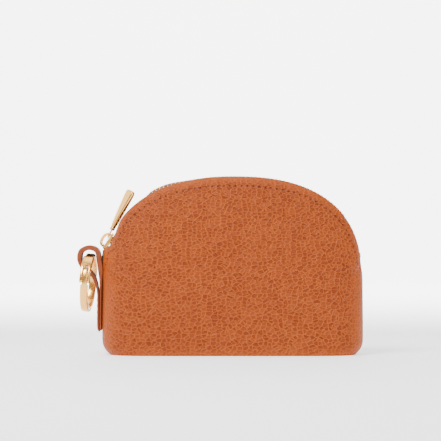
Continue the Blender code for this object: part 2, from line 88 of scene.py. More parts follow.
ringBuild = {"inner": 10.7 * mm, "outer": 12.5 * mm, "halfWidth": 1.6 * mm, "forkInner": 10.3 * mm,
             "forkOuter": 12.8 * mm, "forkHalfWidth": 2.2 * mm, "slot": 1.35 * mm, "tongue": 1.05 * mm,
             "pinAngle": 8, "pinHole": 0.8 * mm, "yaw": -6, "lean": 5}
pullBuild = {"angle": 63.5, "twist": 35, "halfThickness": 1.0 * mm, "eyeReach": 2.3 * mm,
             "eyeHalfWidth": 1.35 * mm, "wireRadius": 0.3 * mm}
cameraBuild = {"distance": 1.0, "fieldWidth": 186.2 * mm, "centreX": -5.2 * mm, "centreZ": 57.3 * mm,
               "sensor": 36}
floorBuild = {"width": 6, "length": 5.5, "front": 2.5, "flat": 1.2, "bend": 1.2, "rise": 0.75}

panelLow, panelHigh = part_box("front_panel")
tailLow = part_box("strap_tail")[0]
joints = {joint["name"]: joint for joint in frame["record"]["behaviour"]["joints"]}
halfWidth = (panelHigh[0] - panelLow[0]) / 2
height = panelHigh[2]
halfDepth = -panelLow[1]
archStart = height * pouchShape["archStart"]
archRise = height - archStart


def smoothStep(low, high, value):
    t = min(max((value - low) / (high - low), 0), 1)
    return t * t * (3 - 2 * t)


class Wire:
    # A socket in a material, so that shader maths reads as maths.
    def __init__(self, tree, socket=None):
        self.tree = tree
        self.socket = socket

    def make(self, kind, output=0, inputs=None, **settings):
        node = self.tree.nodes.new("ShaderNode" + kind)
        for key, value in settings.items():
            setattr(node, key, value)
        for key, value in (inputs or {}).items():
            if isinstance(value, Wire):
                self.tree.links.new(value.socket, node.inputs[key])
            else:
                node.inputs[key].default_value = value
        return Wire(self.tree, node.outputs[output])

    def maths(self, operation, *others, clamp=False):
        inputs = {0: self}
        for place, other in enumerate(others):
            inputs[place + 1] = other
        return self.make("Math", 0, inputs, operation=operation, use_clamp=clamp)

    def __add__(self, other):
        return self.maths("ADD", other)

    def __sub__(self, other):
        return self.maths("SUBTRACT", other)

    def __mul__(self, other):
        return self.maths("MULTIPLY", other)

    def __truediv__(self, other):
        return self.maths("DIVIDE", other)

    def steps(self, low, high):
        inputs = {"Value": self, "From Min": low, "From Max": high}
        return self.make("MapRange", 0, inputs, interpolation_type="SMOOTHSTEP")

    def mix(self, first, second):
        return self.make("Mix", 2, {0: self, 6: first, 7: second}, data_type="RGBA")


def tint(colour, factor=1):
    return (*[channel * factor for channel in colour], 1)


def newMaterial(name):
    made = bpy.data.materials.new(name)
    made.use_nodes = True
    shader = made.node_tree.nodes["Principled BSDF"]
    return made, shader, Wire(made.node_tree)


def feed(wire, shader, socket):
    wire.tree.links.new(wire.socket, shader.inputs[socket])


def objectMillimetres(start, stretch=(1, 1, 1)):
    place = start.make("TexCoord", 3)
    size = tuple(1000 * s for s in stretch)
    return start.make("VectorMath", 0, {0: place, 1: size}, operation="MULTIPLY")


def attribute(start, name):
    return start.make("Attribute", 2, attribute_name=name)


def addBump(start, shader, height, distance):
    normal = start.make("Bump", 0, {"Height": height, "Distance": distance, "Strength": 1.0})
    feed(normal, shader, "Normal")


def pebbles(start, place, roam=0.24):
    # How deep a point lies in a dimple of the grain, from 0 on a ridge to 1 in the middle.
    drift = start.make("TexNoise", 1, {"Vector": place, "Scale": 0.8, "Detail": 1.0})
    push = {0: drift, 1: (roam * 2, roam * 2, 0), 2: place}
    moved = start.make("VectorMath", 0, push, operation="MULTIPLY_ADD")
    inputs = {"Vector": moved, "Scale": 1.0, "Randomness": 0.95}
    edge = start.make("TexVoronoi", 0, inputs, feature="DISTANCE_TO_EDGE", voronoi_dimensions="2D")
    cell = start.make("TexVoronoi", 1, inputs, voronoi_dimensions="2D")
    shade = cell.make("SeparateColor", 0, {0: cell})
    return edge.steps(0.01, 0.34) * (shade * 0.45 + 0.55)


def sheetPlace(start, width, height):
    # The grain's flat coordinates on a panel, in cells.
    across = attribute(start, "grainAcross") / width
    up = attribute(start, "grainUp") / height
    return start.make("CombineXYZ", 0, {0: across, 1: up})


def leatherPanelMaterial():
    made, shader, start = newMaterial("pebbledLeather")
    look = leatherLook
    plain = objectMillimetres(start)
    dimple = pebbles(start, sheetPlace(start, look["cellWidth"], look["cellHeight"]))
    fine = start.make("TexNoise", 0, {"Vector": plain, "Scale": 3.2, "Detail": 3.0})
    broad = start.make("TexNoise", 0, {"Vector": plain, "Scale": 0.06, "Detail": 2.0})
    edge = attribute(start, "edgeDistance")
    run = attribute(start, "alongRim")
    grainFadeShare = attribute(start, "grainFade")
    grain = (edge.steps(look["bandWidth"], look["bandWidth"] + 4.4) * 0.65 + 0.35) * grainFadeShare
    depth = dimple * grain
    position = (run / look["stitchPitch"]).maths("FRACT") - 0.5
    along = position * look["stitchPitch"]
    inset = edge - look["stitchInset"]
    reach = (along * along + inset * inset).maths("SQRT")
    hole = reach.steps(0.42, 0.16)
    crease = inset.maths("ABSOLUTE").steps(0.7, 0.05)
    tone = (fine * 0.30 + broad * 0.35 + 0.38).maths("ADD", 0.0, clamp=True)
    base = tone.mix(tint(look["dark"], 1.25), tint(look["light"], 1.08))
    # Painted shade: the grain's dimples are darkened in colour.
    shaded = (depth * 0.85).mix(base, tint(look["dark"], 0.9))
    # Painted shade along the pressed crease of the stitch row.
    shaded = (crease * 0.08).mix(shaded, tint(look["dark"]))
    # Painted shade: the stitch holes are coloured near-black.
    shaded = (hole * 0.85).mix(shaded, tint(look["deep"]))
    feed(shaded, shader, "Base Color")
    rough = depth * 0.12 + fine * 0.16 + (look["roughness"] - 0.08)
    feed(rough, shader, "Roughness")
    height = fine * 0.12 - depth - crease * 0.35 - hole * 1.2 + 2.0
    addBump(start, shader, height, look["grainHeight"])
    shader.inputs["Specular IOR Level"].default_value = 0.22
    return made


def strapMaterial():
    made, shader, start = newMaterial("strapLeather")
    look = leatherLook
    plain = objectMillimetres(start)
    split = start.make("SeparateXYZ", 0, {0: plain})
    across = Wire(start.tree, split.socket.node.outputs[1])
    upward = Wire(start.tree, split.socket.node.outputs[2])
    flat = start.make("CombineXYZ", 0, {0: across * 0.8, 1: (upward - split) * 0.8})
    dimple = pebbles(start, flat, 0.25)
    fine = start.make("TexNoise", 0, {"Vector": plain, "Scale": 2.4, "Detail": 4.0})
    inner = attribute(start, "innerFace")
    tone = (fine * 0.6 + 0.1).mix(tint(look["dark"], 0.95), tint(look["light"], 0.85))
    # Painted shade: the grain's dimples are darkened in colour.
    shaded = (dimple * 0.22).mix(tone, tint(look["dark"]))
    # The inner faces, inside the loop and between the strap's two layers, are coloured near-black brown.
    innerDarkTone = (fine * fine).mix((0.016, 0.010, 0.010, 1), (0.05, 0.026, 0.018, 1))
    feed(inner.mix(shaded, innerDarkTone), shader, "Base Color")
    feed(inner * 0.35 + fine * 0.12 + 0.40, shader, "Roughness")
    addBump(start, shader, fine * 0.5 - dimple * 0.35 + inner * fine * 1.2, 0.10 * mm)
    shader.inputs["Specular IOR Level"].default_value = 0.42
    return made


def clothMaterial(name, colour, threads, depth):
    made, shader, start = newMaterial(name)
    place = objectMillimetres(start)
    split = start.make("SeparateXYZ", 0, {0: place})
    across = Wire(start.tree, split.socket.node.outputs[1])
    upward = Wire(start.tree, split.socket.node.outputs[2])
    warp = ((split + across) * threads).maths("SINE")
    weft = (upward * threads).maths("SINE")
    weave = warp * weft
    fuzz = start.make("TexNoise", 0, {"Vector": place, "Scale": 4.0, "Detail": 3.0})
    tone = (weave * 0.3 + fuzz * 0.6 + 0.1).maths("ADD", 0.0, clamp=True)
    feed(tone.mix(tint(colour, 0.6), tint(colour, 1.6)), shader, "Base Color")
    feed(fuzz * 0.15 + 0.75, shader, "Roughness")
    addBump(start, shader, weave + fuzz * 0.6, depth)
    shader.inputs["Sheen Weight"].default_value = 0.25
    return made


def tapeMaterial():
    made, shader, start = newMaterial("zipTapeCloth")
    run = attribute(start, "alongRim")
    edge = attribute(start, "edgeDistance")
    ribs = (run * 7.5 + (edge * 6.0).maths("SINE") * 0.8).maths("SINE")
    fuzz = start.make("TexNoise", 0, {"Vector": objectMillimetres(start), "Scale": 5.0, "Detail": 3.0})
    tone = (ribs * 0.25 + fuzz * 0.7).maths("ADD", 0.0, clamp=True)
    colour = tapeBuild["colour"]
    feed(tone.mix(tint(colour, 0.6), tint(colour, 1.9)), shader, "Base Color")
    feed(fuzz * 0.15 + 0.72, shader, "Roughness")
    addBump(start, shader, ribs * 0.6 + fuzz * 0.5, 0.08 * mm)
    return made


def threadMaterial():
    made, shader, start = newMaterial("waxedThread")
    run = attribute(start, "alongRim")
    around = attribute(start, "aroundThread")
    twist = (run * 9.0 + around * 6.2832).maths("SINE")
    fuzz = start.make("TexNoise", 0, {"Vector": objectMillimetres(start), "Scale": 6.0, "Detail": 2.0})
    tone = (twist * 0.3 + fuzz * 0.6 + 0.1).maths("ADD", 0.0, clamp=True)
    colour = threadBuild["colour"]
    feed(tone.mix(tint(colour, 0.55), tint(colour, 1.35)), shader, "Base Color")
    feed(fuzz * 0.2 + 0.45, shader, "Roughness")
    addBump(start, shader, twist, 0.05 * mm)
    return made


def metalMaterial(name, look, ribs=0):
    made, shader, start = newMaterial(name)
    place = objectMillimetres(start)
    cloud = start.make("TexNoise", 0, {"Vector": place, "Scale": 0.5, "Detail": 3.0})
    drawn = objectMillimetres(start, (1, 0.12, 1))
    scratch = start.make("TexNoise", 0, {"Vector": drawn, "Scale": 5.0, "Detail": 4.0})
    feed(cloud.mix(tint(look["colour"], 0.9), tint(look["colour"], 1.06)), shader, "Base Color")
    feed(cloud * 0.10 + scratch * 0.10 + (look["roughness"] - 0.08), shader, "Roughness")
    shader.inputs["Metallic"].default_value = 1.0
    height = scratch * 0.25 + cloud * 0.3
    if ribs:
        slope = start.make("VectorMath", 1, {0: place, 1: tuple(sliderAlong)}, operation="DOT_PRODUCT")
        face = attribute(start, "ribbed")
        height = height + (slope * ribs).maths("SINE") * face * 2.0
    addBump(start, shader, height, 0.03 * mm)
    return made


def outline(a):
    # The edge seen from the front: -1 is the left base corner, 0 the apex, 1 the right base corner.
    side = -1 if a < 0 else 1
    share = abs(a)
    if share <= 0.7:
        power = pouchShape["archPowerLeft"] if side < 0 else pouchShape["archPowerRight"]
        angle = math.pi / 2 * (1 - share / 0.7)
        x = halfWidth * max(math.cos(angle), 0) ** (2 / power)
        return side * x, archStart + archRise * math.sin(angle) ** (2 / power)
    z = archStart * ((1 - share) / 0.3) ** 1.6
    return side * (halfWidth - pouchShape["cornerInset"] * max(1 - z / pouchShape["cornerRise"], 0) ** 3), z


def rimGap(z):
    rise = smoothStep(pouchShape["seamTop"], pouchShape["zipLow"], z)
    return pouchShape["seamGap"] + (pouchShape["zipGap"] - pouchShape["seamGap"]) * rise


def skin(a, t, side):
    # One half's outer surface: t runs from 0 at the rim to 1 at the middle of the base's edge.
    x, z = outline(a)
    climb = z * z / (x * x + z * z)
    power = 2 + 7 * (1 - climb) ** 1.5
    fall = 2 - 0.4 * climb
    reach = max(1 - t * t, 0)
    swell = (1 - reach ** power) ** (1 / fall)
    gap = rimGap(z)
    low = 1 - smoothStep(32 * mm, 43 * mm, z)
    recess = pouchShape["seamRecess"] * max(1 - t / 0.10, 0) ** 2 * low
    bulge = smoothStep(0, 0.09, t) * (1 - smoothStep(0.12, 0.6, t))
    recess -= pouchShape["sideBulge"] * bulge * low
    if x < 0:
        near = smoothStep(45.2 * mm, 47 * mm, z) * (1 - smoothStep(51 * mm, 57 * mm, z))
        shoulder = smoothStep(30 * mm, 44 * mm, z) * (1 - smoothStep(44.6 * mm, 46.6 * mm, z))
        haunch = smoothStep(54 * mm, 60 * mm, z) * (1 - smoothStep(69 * mm, 75 * mm, z))
        push = pouchShape["sliderDip"] * near - pouchShape["shoulder"] * shoulder
        push -= pouchShape["haunch"] * haunch
        recess += push * (1 - smoothStep(0.05, 0.35, t))
    inward = recess / math.hypot(x, z)
    return Vector((x * (reach - inward), side * (gap + (halfDepth - gap) * swell), z * (reach - inward)))


def layerPoint(a, t, side, depth):
    step = 0.0015
    here = skin(a, t, side)
    if t > 0.995:
        return here - Vector((0, side, 0)) * depth
    across = skin(a, min(t + step, 1), side) - skin(a, max(t - step, 0), side)
    along = skin(min(a + step, 1), t, side) - skin(max(a - step, -1), t, side)
    normal = along.cross(across)
    if abs(a) > 0.997:
        normal.z = 0
    normal.normalize()
    if normal.dot(here - Vector((0, 0, 0.02))) < 0:
        normal = -normal
    lump = noise.noise(here * 60 + Vector((0, side * 5, 0))) * pouchShape["undulation"]
    lump = lump * smoothStep(0, 0.35, t) * smoothStep(0, 14 * mm, here.z)
    return here - normal * (depth - lump)


def rimLengths():
    # The distance along the outline from the apex, in millimetres, for even shares.
    count = 800
    places = [Vector(outline(-1 + 2 * i / count)) for i in range(count + 1)]
    lengths = [0.0]
    for p, q in zip(places, places[1:]):
        lengths.append(lengths[-1] + (q - p).length)
    middle = lengths[count // 2]
    return [(length - middle) / mm for length in lengths]


rimTable = rimLengths()


def rimLength(a):
    place = (a + 1) / 2 * (len(rimTable) - 1)
    low = min(max(int(place), 0), len(rimTable) - 2)
    return rimTable[low] + (rimTable[low + 1] - rimTable[low]) * (place - low)


def shareAtLength(length):
    low, high = -1.0, 1.0
    for _ in range(30):
        middle = (low + high) / 2
        if rimLength(middle) < length:
            low = middle
        else:
            high = middle
    return (low + high) / 2


def shareAtHeight(z, side):
    low, high = 0.0, 1.0
    for _ in range(30):
        middle = (low + high) / 2
        if outline(side * middle)[1] > z:
            low = middle
        else:
            high = middle
    return side * low


def rimFrame(a):
    step = 0.001
    x0, z0 = outline(max(a - step, -1))
    x1, z1 = outline(min(a + step, 1))
    x, z = outline(a)
    tangent = Vector((x1 - x0, 0, z1 - z0)).normalized()
    return Vector((x, 0, z)), tangent, Vector((-tangent.z, 0, tangent.x))


def finishMesh(name, work, material, smooth=35):
    bmesh.ops.recalc_face_normals(work, faces=work.faces)
    mesh = bpy.data.meshes.new(name)
    work.to_mesh(mesh)
    work.free()
    mesh.shade_smooth()
    mesh.set_sharp_from_angle(angle=math.radians(smooth))
    mesh.materials.append(material)
    made = bpy.data.objects.new(name, mesh)
    bpy.context.collection.objects.link(made)
    return made


def gridSheet(name, rows, columns, place, material, values=None, smooth=50):
    # A sheet made from a flat grid, each point moved by place(u, v) with u and v from 0 to 1.
    work = bmesh.new()
    bmesh.ops.create_grid(work, x_segments=rows, y_segments=columns, size=0.5)
    shares = []
    for vert in work.verts:
        shares.append((vert.co.x + 0.5, vert.co.y + 0.5))
        vert.co = place(*shares[-1])
    names = list(values or {})
    layers = [work.verts.layers.float.new(key) for key in names]
    for vert, (u, v) in zip(work.verts, shares):
        for key, layer in zip(names, layers):
            vert[layer] = values[key](u, v, vert.co)
    bmesh.ops.remove_doubles(work, verts=work.verts, dist=0.00002)
    return finishMesh(name, work, material, smooth)


def roundEdges(piece, width):
    edge = piece.modifiers.new("roundedEdge", "BEVEL")
    edge.width = width
    edge.segments = 3
    edge.limit_method = "ANGLE"
    edge.angle_limit = math.radians(50)


def thicken(piece, thickness, rounding=0):
    solid = piece.modifiers.new("thickness", "SOLIDIFY")
    solid.thickness = thickness
    solid.offset = -1
    if rounding:
        roundEdges(piece, rounding)


def faceOutward(piece):
    # Turn the sheet over where its faces look at the pouch's middle.
    mesh = piece.data
    middle = Vector((0, 0, 0.03))
    away = sum(1 if face.normal.dot(face.center - middle) > 0 else -1 for face in mesh.polygons)
    if away < 0:
        mesh.flip_normals()


def openWeight(point):
    # How far a point of the front half follows the mouth as it opens.
    start = 20 * mm + 27 * mm * min(abs(point.x) / halfWidth, 1) ** 2
    return smoothStep(start, height + 6 * mm, point.z)


def followMouth(piece):
    hinge = Vector(joints["mouth_open"]["pos_m"])
    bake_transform(piece, "pouch", "front_half", start=tuple(hinge), end=(hinge.x, hinge.y, height))
    layer = piece.data.attributes["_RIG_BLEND"]
    layer.data.foreach_set("value", [openWeight(vert.co) for vert in piece.data.vertices])


def attach(piece, side):
    if side > 0:
        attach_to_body(piece, "pouch")
    else:
        followMouth(piece)


def panelShare(v):
    return v ** 1.15


def edgeDistanceAt(u, v, point):
    # Distance from the rim in millimetres, measured along the sheet.
    a = -1 + 2 * u
    side = 1 if point.y > 0 else -1
    last = skin(a, 0, side)
    total = 0.0
    for i in range(1, 7):
        here = skin(a, panelShare(v) * i / 6, side)
        total += (here - last).length
        last = here
    return total / mm


def grainFade(u, v, point):
    sides = 1 - smoothStep(0.86, 1.0, abs(point.x) / halfWidth) * 0.75
    foot = smoothStep(-2 * mm, 5 * mm, point.z)
    return sides * (0.35 + 0.65 * foot)


def grainAcross(u, v, point):
    # Distance round the pouch from its middle line, in millimetres, unrolled past the side.
    turn = point.x ** 2 / (point.x ** 2 + point.z ** 2 + 1e-9)
    spread = abs(point.x) + (halfDepth - abs(point.y)) * 0.8 * turn
    return math.copysign(spread, point.x) / mm + (300 if point.y > 0 else 0)


def grainUp(u, v, point):
    climb = point.z ** 2 / (point.x ** 2 + point.z ** 2 + 1e-9)
    return (point.z + (halfDepth - abs(point.y)) * 0.8 * climb) / mm


def leatherPanel(word, side, material):
    name = word + "LeatherPanel"

    def place(u, v):
        return layerPoint(-1 + 2 * u, panelShare(v), side, 0)

    values = {"edgeDistance": edgeDistanceAt, "grainFade": grainFade, "grainAcross": grainAcross,
              "grainUp": grainUp, "alongRim": lambda u, v, point: rimLength(-1 + 2 * u)}
    piece = gridSheet(name, panelBuild["rows"], panelBuild["columns"], place, material, values)
    faceOutward(piece)
    thicken(piece, panelBuild["thickness"], panelBuild["edgeRound"])
    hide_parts(word + "_panel")
    attach(piece, side)


def liningWall(word, side, material):
    foot = liningBuild["foot"]

    def place(u, v):
        across = liningBuild["start"] + liningBuild["span"] * v
        point = layerPoint(-1 + 2 * u, across, side, liningBuild["depth"])
        point.z = max(point.z, foot)
        return point

    piece = gridSheet(word + "Lining", liningBuild["rows"], liningBuild["columns"], place, material)
    faceOutward(piece)
    thicken(piece, liningBuild["thickness"])
    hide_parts("lining_" + word)
    attach(piece, side)


def zipTape(word, side, material):
    first = shareAtHeight(tapeBuild["foot"], -1)
    last = shareAtHeight(tapeBuild["foot"], 1)
    flat = 0.35

    def place(u, v):
        a = first + (last - first) * u
        if v > flat:
            return layerPoint(a, 0.2 * (v - flat) / (1 - flat), side, tapeBuild["depth"])
        spot, _, out = rimFrame(a)
        gap = rimGap(spot.z)
        edge = min(tapeBuild["edge"], gap)
        y = edge + (gap - edge) * v / flat
        return spot - out * tapeBuild["depth"] + Vector((0, side * y, 0))

    values = {"edgeDistance": lambda u, v, point: v * 8,
              "alongRim": lambda u, v, point: rimLength(first + (last - first) * u)}
    piece = gridSheet(word + "ZipTape", 200, 14, place, material, values)
    faceOutward(piece)
    thicken(piece, tapeBuild["thickness"])
    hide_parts("zip_tape_" + word)
    attach(piece, side)


def addBlock(work, matrix, size, bevel):
    made = bmesh.ops.create_cube(work, size=1, matrix=matrix @ Matrix.Diagonal((*size, 1)))
    edges = list({edge for vert in made["verts"] for edge in vert.link_edges})
    bmesh.ops.bevel(work, geom=edges, offset=bevel, offset_type="OFFSET", segments=2, profile=0.5,
                    affect="EDGES", material=-1)


def rimMatrix(a, lift, y):
    spot, tangent, out = rimFrame(a)
    place = spot + out * lift + Vector((0, y, 0))
    turn = Matrix((tangent, (0, 1, 0), out)).transposed().to_4x4()
    return Matrix.Translation(place) @ turn


def chainLift(a):
    # The chain stands a little proud of the left haunch and sinks at both ends.
    x, z = outline(a)
    if x > 0:
        return -1.9 * mm * smoothStep(60 * mm, 52 * mm, z)
    if z > 58 * mm:
        return 1.2 * mm * smoothStep(66 * mm, 69 * mm, z) * (1 - smoothStep(71 * mm, 75 * mm, z))
    near = smoothStep(58 * mm, 51 * mm, z)
    return -0.9 * mm * near + (51.5 * mm - z) * 0.12 * near * smoothStep(44 * mm, 51 * mm, z)


def zipTeeth(word, side, material):
    work = bmesh.new()
    build = toothBuild
    start = rimLength(shareAtHeight(build["first"], -1))
    finish = rimLength(shareAtHeight(build["last"], 1))
    pitch = build["pitch"] / mm
    length = start + (pitch / 2 if side < 0 else 0)
    while length < finish:
        a = shareAtLength(length)
        lift = build["proud"] - build["height"] / 2 + chainLift(a)
        clamp = (build["length"], build["clampWidth"], build["height"])
        addBlock(work, rimMatrix(a, lift, side * build["clampPlace"]), clamp, 0.14 * mm)
        head = (build["length"] * build["headLength"], build["headWidth"],
                build["height"] * build["headHeight"])
        addBlock(work, rimMatrix(a, lift, side * build["headPlace"]), head, 0.12 * mm)
        length += pitch
    piece = finishMesh(word + "ZipTeeth", work, material)
    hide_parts("zip_teeth_" + word)
    attach(piece, side)


def joinRings(work, rings):
    # A skin over rings of points, closed at both ends.
    for one, two in zip(rings, rings[1:]):
        for k in range(len(one)):
            after = (k + 1) % len(one)
            work.faces.new((one[k], one[after], two[after], two[k]))
    work.faces.new(rings[0])
    work.faces.new(rings[-1])


def roundedSection(half, low, high, ease):
    # The outline of a round-edged bar: pairs of (across, out).
    points = []
    for across, out, start in ((half - ease, high - ease, 0), (-half + ease, high - ease, 90),
                               (-half + ease, low + ease, 180), (half - ease, low + ease, 270)):
        for i in range(5):
            turn = math.radians(start + 22.5 * i)
            points.append((across + ease * math.cos(turn), out + ease * math.sin(turn)))
    return points


def tubeLayers(work):
    return [work.verts.layers.float.new(name) for name in ("alongRim", "aroundThread")]


def tubeAlong(work, centres, radius, layers, sides, run=0.0):
    # A round tube through the points, narrowed at both ends.
    rings = []
    for i, centre in enumerate(centres):
        before = centres[max(i - 1, 0)]
        after = centres[min(i + 1, len(centres) - 1)]
        tangent = (after - before).normalized()
        first = tangent.orthogonal().normalized()
        second = tangent.cross(first)
        size = radius if 0 < i < len(centres) - 1 else radius * 0.35
        ring = []
        for k in range(sides):
            angle = 2 * math.pi * k / sides
            vert = work.verts.new(centre + (first * math.cos(angle) + second * math.sin(angle)) * size)
            vert[layers[0]] = run + (centre - centres[0]).length / mm
            vert[layers[1]] = k / sides
            ring.append(vert)
        rings.append(ring)
    joinRings(work, rings)


def shareAtEdge(a, side, wanted):
    # The share across the sheet that lies `wanted` millimetres from the rim.
    last = skin(a, 0, side)
    total = 0.0
    for i in range(1, 200):
        t = i * 0.003
        here = skin(a, t, side)
        total += (here - last).length / mm
        if total >= wanted:
            return t
        last = here
    return 0.3


def stitchRow(word, side, material):
    work = bmesh.new()
    layers = tubeLayers(work)
    pitch = leatherLook["stitchPitch"]
    first = math.ceil(rimLength(shareAtHeight(threadBuild["foot"], -1)) / pitch)
    last = math.floor(rimLength(shareAtHeight(threadBuild["foot"], 1)) / pitch)
    for k in range(first, last):
        centres = []
        for i in range(7):
            share = i / 6
            run = (k + 0.5 + 0.1 + 0.8 * share) * pitch
            a = shareAtLength(run)
            t = shareAtEdge(a, side, leatherLook["stitchInset"])
            sink = threadBuild["sink"] + 0.32 * mm * (2 * share - 1) ** 4 - 0.1 * mm
            centres.append(layerPoint(a, t, side, sink))
        tubeAlong(work, centres, threadBuild["radius"], layers, 8, k * pitch)
    piece = finishMesh(word + "Stitches", work, material, 60)
    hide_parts(word + "_stitching")
    attach(piece, side)


sliderBody = Vector(joints["slider_travel"]["pos_m"])
sliderStart = Vector((-53.2 * mm, 0, 48.3 * mm))
sliderOut = (sliderStart - sliderBody).normalized()
sliderAlong = Vector((sliderOut.z, 0, -sliderOut.x))
sliderBuild = {"length": 7.8 * mm, "halfWidth": 3.25 * mm, "plate": 0.9 * mm, "top": -0.3 * mm,
               "floor": -3.8 * mm, "bridgeRise": 3.0 * mm, "bridgeHalfWidth": 0.75 * mm,
               "railPlace": 2.75 * mm}


def sliderMatrix(along, across, out):
    turn = Matrix((sliderAlong, (0, 1, 0), sliderOut)).transposed().to_4x4()
    return Matrix.Translation(sliderStart) @ turn @ Matrix.Translation((along, across, out))


def sliderPlate(work, low, ribLayer):
    # A shield-shaped plate: wide at the leading end, narrower behind.
    build = sliderBuild
    half = build["length"] / 2
    wide = build["halfWidth"]
    profile = []
    for i in range(25):
        turn = math.pi * i / 24
        profile.append((-half + 1.3 * mm - 1.3 * mm * math.sin(turn), wide * 0.98 * -math.cos(turn)))
    profile += [(half * 0.2, wide * 0.92), (half * 0.75, wide * 0.80), (half, wide * 0.66)]
    profile += [(half, -wide * 0.66), (half * 0.75, -wide * 0.80), (half * 0.2, -wide * 0.92)]
    verts = [work.verts.new(sliderMatrix(x, y, low) @ Vector()) for x, y in profile]
    face = work.faces.new(verts)
    grown = bmesh.ops.extrude_face_region(work, geom=[face])
    lifted = [item for item in grown["geom"] if isinstance(item, bmesh.types.BMVert)]
    bmesh.ops.translate(work, verts=lifted, vec=sliderOut * build["plate"])
    for vert in verts + lifted:
        vert[ribLayer] = 1.0


def sliderPiece(material):
    build = sliderBuild
    half = build["length"] / 2
    work = bmesh.new()
    ribLayer = work.verts.layers.float.new("ribbed")
    sliderPlate(work, build["top"], ribLayer)
    sliderPlate(work, build["floor"] - build["plate"], ribLayer)
    for side in (-1, 1):
        for level in (build["top"] - 0.25 * mm, build["floor"] + 0.25 * mm):
            addBlock(work, sliderMatrix(-0.3 * mm, side * build["railPlace"], level),
                     (half * 1.55, 0.55 * mm, 0.8 * mm), 0.12 * mm)
    addBlock(work, sliderMatrix(-half + 1.3 * mm, 0, (build["top"] + build["floor"]) / 2),
             (2.0 * mm, 1.7 * mm, build["top"] - build["floor"] + 0.4 * mm), 0.3 * mm)
    piece = finishMesh("zipSlider", work, material, 40)
    roundEdges(piece, 0.16 * mm)
    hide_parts("slider_body")
    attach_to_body(piece, "slider")


def sliderBridge(material):
    build = sliderBuild
    base = build["top"] + build["plate"]

    def place(u, v):
        angle = math.pi * u
        along = -3.3 * mm * math.cos(angle)
        rise = build["bridgeRise"] * math.sin(angle) ** 0.6
        wide = build["bridgeHalfWidth"] * (1.3 - 0.3 * math.sin(angle))
        spread = 2 * v - 1
        crown = 0.16 * mm * (1 - spread * spread)
        return sliderMatrix(along, wide * spread, base - 0.25 * mm + rise + crown) @ Vector()

    piece = gridSheet("sliderBridge", 40, 8, place, material)
    mesh = piece.data
    top = max(mesh.polygons, key=lambda face: face.center.dot(sliderOut))
    if top.normal.dot(sliderOut) < 0:
        mesh.flip_normals()
    thicken(piece, 1.2 * mm, 0.25 * mm)
    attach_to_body(piece, "slider")


def pullAxes():
    angle = math.radians(pullBuild["angle"])
    twist = math.radians(pullBuild["twist"])
    along = Vector((math.cos(angle), 0, math.sin(angle)))
    flat = Vector((-along.z, 0, along.x))
    across = Vector((0, math.cos(twist), 0)) + flat * math.sin(twist)
    out = flat * math.cos(twist) - Vector((0, math.sin(twist), 0))
    return along, across, out


def pullTab(material):
    along, across, out = pullAxes()
    pivot = Vector(joints["pull_swing"]["pos_m"])
    work = bmesh.new()
    profile = [(3.5, 0.8, 0.7), (3.9, 0.95, 0.95), (4.6, 1.0, 0.95), (5.0, 0.85, 0.6), (5.5, 1.1, 0.96),
               (9, 1.45, 1.0), (13, 1.95, 1.0), (17, 2.42, 1.0), (20.3, 2.75, 1.0), (21.6, 2.7, 0.97),
               (22.2, 2.3, 0.9), (22.5, 1.5, 0.8)]
    corners = [(-1, -0.62), (-0.86, -0.93), (-0.5, -1), (0.5, -1), (0.86, -0.93), (1, -0.62),
               (1, 0.62), (0.86, 0.93), (0.5, 1), (-0.5, 1), (-0.86, 0.93), (-1, 0.62)]
    rings = []
    for place, half, thick in profile:
        centre = pivot + along * place * mm
        rise = pullBuild["halfThickness"] * thick
        rings.append([work.verts.new(centre + across * half * mm * u + out * rise * v) for u, v in corners])
    joinRings(work, rings)
    piece = finishMesh("pullTab", work, material, 60)
    smooth = piece.modifiers.new("smooth", "SUBSURF")
    smooth.levels = 2
    smooth.render_levels = 2
    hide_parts("pull_tab")
    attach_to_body(piece, "pull")
    pullEye(along, pivot, material)


def pullEye(along, pivot, material):
    # The wire eye from the neck down to the crossbar under the bridge.
    work = bmesh.new()
    layers = tubeLayers(work)
    reach = pullBuild["eyeReach"]
    half = pullBuild["eyeHalfWidth"]
    centres = []
    for i in range(33):
        angle = 2 * math.pi * i / 32
        corner = max(abs(math.cos(angle)), abs(math.sin(angle)))
        squash = 1 + (1 / corner - 1) * 0.75
        middle = pivot + along * (reach + reach * squash * math.cos(angle))
        centres.append(middle + Vector((0, half * squash * math.sin(angle), 0)))
    tubeAlong(work, centres, pullBuild["wireRadius"], layers, 10)
    piece = finishMesh("pullEye", work, material, 60)
    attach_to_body(piece, "pull")


strapRoute = [(-56.45, 10.4, 0.85), (-56.42, 16.0, 0.85), (-56.40, 22.0, 0.85), (-56.35, 28.0, 0.95),
              (-56.35, 32.0, 1.3), (-56.50, 36.5, 2.2), (-57.10, 40.8, 2.1), (-58.10, 44.5, 2.1),
              (-61.40, 45.7, 2.1), (-64.60, 44.3, 2.1), (-65.40, 41.2, 2.1), (-64.70, 38.4, 1.7),
              (-62.60, 36.3, 2.1), (-60.40, 34.7, 1.7), (-58.90, 32.2, 1.4), (-57.90, 29.0, 1.0),
              (-57.50, 25.5, 0.85), (-57.45, 20.0, 0.85), (-57.50, 15.0, 0.85), (-57.45, 11.6, 0.85),
              (-57.20, 10.3, 0.6), (-56.80, 9.9, 0.4)]


def openCurve(route, parts):
    # A smooth curve through points given as place across, place up and a third value, all in millimetres.
    points = []
    last = len(route) - 1
    for i in range(last):
        p = [Vector(route[min(max(i + k, 0), last)]) * mm for k in (-1, 0, 1, 2)]
        for k in range(parts):
            t = k / parts
            bend = (2 * p[0] - 5 * p[1] + 4 * p[2] - p[3]) * t * t
            bend += (3 * p[1] - p[0] - 3 * p[2] + p[3]) * t ** 3
            points.append((2 * p[1] + (p[2] - p[0]) * t + bend) * 0.5)
    points.append(Vector(route[last]) * mm)
    return points


